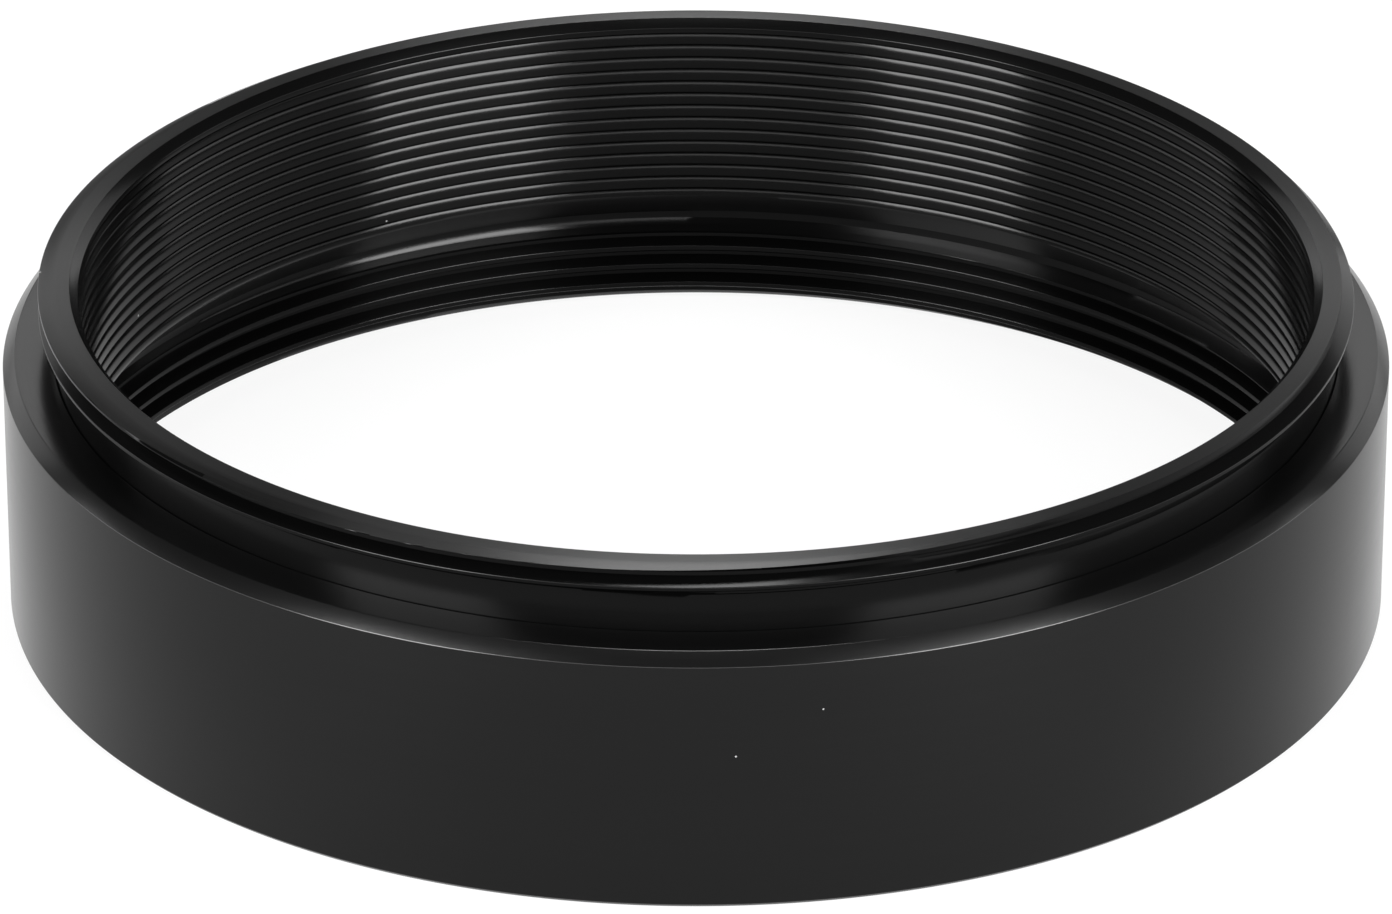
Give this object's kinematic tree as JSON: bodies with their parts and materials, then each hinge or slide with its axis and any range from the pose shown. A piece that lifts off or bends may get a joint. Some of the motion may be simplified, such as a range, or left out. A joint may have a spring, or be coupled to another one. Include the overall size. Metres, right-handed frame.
{
  "type": "lens hood",
  "caption": "Short round screw-in metal lens hood: threaded neck, flat shoulder, plain barrel, ridged anti-glare bore and a female thread at the front.",
  "frame": {"origin": "centre of the front rim, in the plane on which the hood stands", "axes": "+Z along the optical axis towards the lens, so the male thread is at the top; +X is any radial direction"},
  "size_m": [0.0486, 0.0486, 0.012],
  "materials": {
    "satin_black_anodise": "satin black anodised",
    "neck_black_anodise": "satin black anodised, turned",
    "matt_black_baffle": "deep black anodised"
  },
  "bodies": {
    "root": {"hood_barrel": "satin_black_anodise", "mount_ring": "neck_black_anodise", "baffle_sleeve": "matt_black_baffle"}
  },
  "joints": []
}
